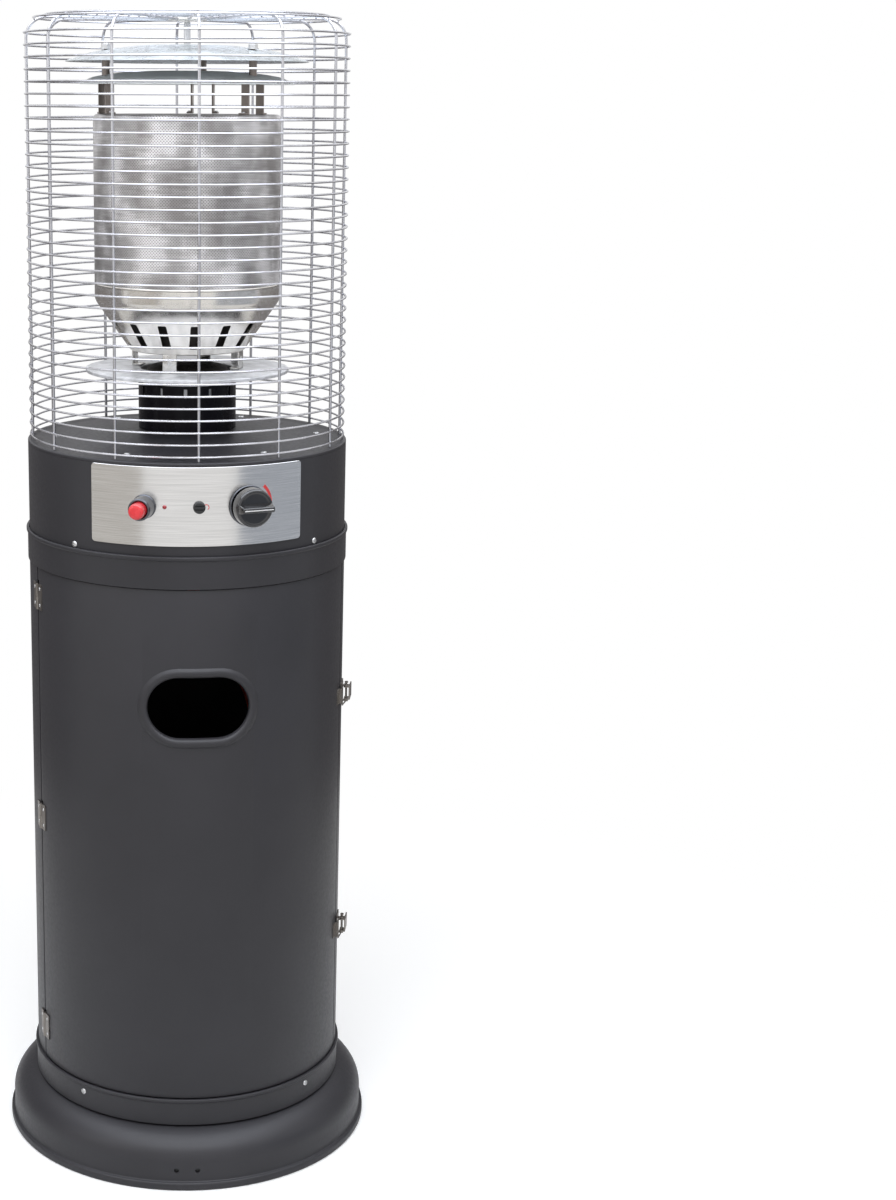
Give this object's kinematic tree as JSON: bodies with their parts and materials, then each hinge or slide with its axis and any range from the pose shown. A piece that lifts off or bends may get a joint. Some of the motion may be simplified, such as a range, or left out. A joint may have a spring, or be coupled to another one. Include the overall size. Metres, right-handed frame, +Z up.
{
  "type": "gas patio heater",
  "caption": "Round gas patio heater: bottle housing with a latched door and hand hole, control panel, burner, slotted flame cone, tall radiant screen, reflectors and a wire guard.",
  "frame": {"origin": "on the heater's vertical axis, at the floor", "axes": "+Z up, -Y towards the front with the door and controls, +X to the right seen from the front"},
  "size_m": [0.4574, 0.4574, 1.3767],
  "materials": {
    "charcoal_coat": "satin powder coat",
    "stainless": "brushed",
    "bright_plate": "bright zinc plate",
    "emitter_mesh": "heat-tinted perforated steel",
    "black_enamel": "gloss enamel",
    "black_plastic": "gloss",
    "dark_chrome": "dark chrome",
    "cast_iron": "matt",
    "red_plastic": "gloss",
    "brass": "machined",
    "aluminium": "die-cast",
    "hose_rubber": "satin"
  },
  "bodies": {
    "heater": {"base_pan": "charcoal_coat", "base_ring": "charcoal_coat", "burner_collar": "black_enamel", "burner_flange": "stainless", "burner_head": "cast_iron", "cap_nut_1": "bright_plate", "cap_nut_2": "bright_plate", "cap_nut_3": "bright_plate", "control_panel": "stainless", "emitter_screen": "emitter_mesh", "flame_cone": "stainless", "gas_inlet": "bright_plate", "gas_valve": "brass", "guard_front": "bright_plate", "guard_right": "bright_plate", "guard_rear": "bright_plate", "guard_left": "bright_plate", "guard_nut": "bright_plate", "guard_plate": "bright_plate", "guard_rod": "bright_plate", "head_floor": "charcoal_coat", "head_shell": "charcoal_coat", "head_top_plate": "charcoal_coat", "hinge_fixed_1": "bright_plate", "hinge_fixed_2": "bright_plate", "hinge_fixed_3": "bright_plate", "igniter_bezel": "dark_chrome", "igniter_module": "black_plastic", "indicator_lamp": "red_plastic", "knob_bezel": "bright_plate", "latch_base_lower": "bright_plate", "latch_base_upper": "bright_plate", "lower_hoop": "charcoal_coat", "lower_reflector": "stainless", "pilot_assembly": "bright_plate", "rear_shell": "charcoal_coat", "reflector_post_1": "bright_plate", "reflector_post_2": "bright_plate", "reflector_post_3": "bright_plate", "supply_pipe": "bright_plate", "upper_hoop": "charcoal_coat", "upper_reflector": "stainless", "gas_hose": "hose_rubber", "hose_nut": "brass", "regulator": "aluminium", "bottle_nut": "brass"},
    "door": {"door_panel": "charcoal_coat", "hinge_door_1": "bright_plate", "hinge_door_2": "bright_plate", "hinge_door_3": "bright_plate", "latch_keeper_upper": "bright_plate", "latch_keeper_lower": "bright_plate"},
    "upper_latch_lever": {"latch_lever_upper": "bright_plate"},
    "upper_latch_bail": {"latch_bail_upper": "bright_plate"},
    "lower_latch_lever": {"latch_lever_lower": "bright_plate"},
    "lower_latch_bail": {"latch_bail_lower": "bright_plate"},
    "gas_stem": {"valve_stem": "bright_plate"},
    "gas_knob": {"control_knob": "black_plastic"},
    "igniter": {"igniter_button": "red_plastic"},
    "slotted_cap": {"slotted_cap": "black_plastic"}
  },
  "joints": [
    {"name": "door_hinge", "type": "hinge", "parent": "heater", "child": "door", "pos_m": [-0.18298, -0.05946, 0.42], "axis": [0, 0, -1], "range_deg": [0, 115]},
    {"name": "gas_knob_push", "type": "slide", "parent": "heater", "child": "gas_stem", "axis": [-0.2924, 0.9563, 0], "range_m": [0, 0.004], "stiffness_N_per_m": 500},
    {"name": "gas_knob_turn", "type": "hinge", "parent": "gas_stem", "child": "gas_knob", "pos_m": [0.05657, -0.18504, 0.8325], "axis": [0.2924, -0.9563, 0], "range_deg": [0, 180]},
    {"name": "igniter_push", "type": "slide", "parent": "heater", "child": "igniter", "axis": [0.319, 0.9478, 0], "range_m": [0, 0.005], "stiffness_N_per_m": 800},
    {"name": "slotted_cap_turn", "type": "hinge", "parent": "heater", "child": "slotted_cap", "pos_m": [0, -0.1935, 0.8325], "axis": [0, -1, 0], "range_deg": [0, 90]},
    {"name": "upper_latch_lever_turn", "type": "hinge", "parent": "heater", "child": "upper_latch_lever", "pos_m": [0.19215, -0.05127, 0.57], "axis": [0, 0, -1], "range_deg": [0, 100]},
    {"name": "upper_latch_bail_turn", "type": "hinge", "parent": "upper_latch_lever", "child": "upper_latch_bail", "pos_m": [0.19355, -0.04544, 0.57], "axis": [0, 0, 1], "range_deg": [0, 100]},
    {"name": "lower_latch_lever_turn", "type": "hinge", "parent": "heater", "child": "lower_latch_lever", "pos_m": [0.19215, -0.05127, 0.264], "axis": [0, 0, -1], "range_deg": [0, 100]},
    {"name": "lower_latch_bail_turn", "type": "hinge", "parent": "lower_latch_lever", "child": "lower_latch_bail", "pos_m": [0.19355, -0.04544, 0.264], "axis": [0, 0, 1], "range_deg": [0, 100]}
  ],
  "couplings": [
    {"joint": "upper_latch_bail_turn", "follows": "upper_latch_lever_turn", "ratio": 1},
    {"joint": "lower_latch_bail_turn", "follows": "lower_latch_lever_turn", "ratio": 1}
  ]
}
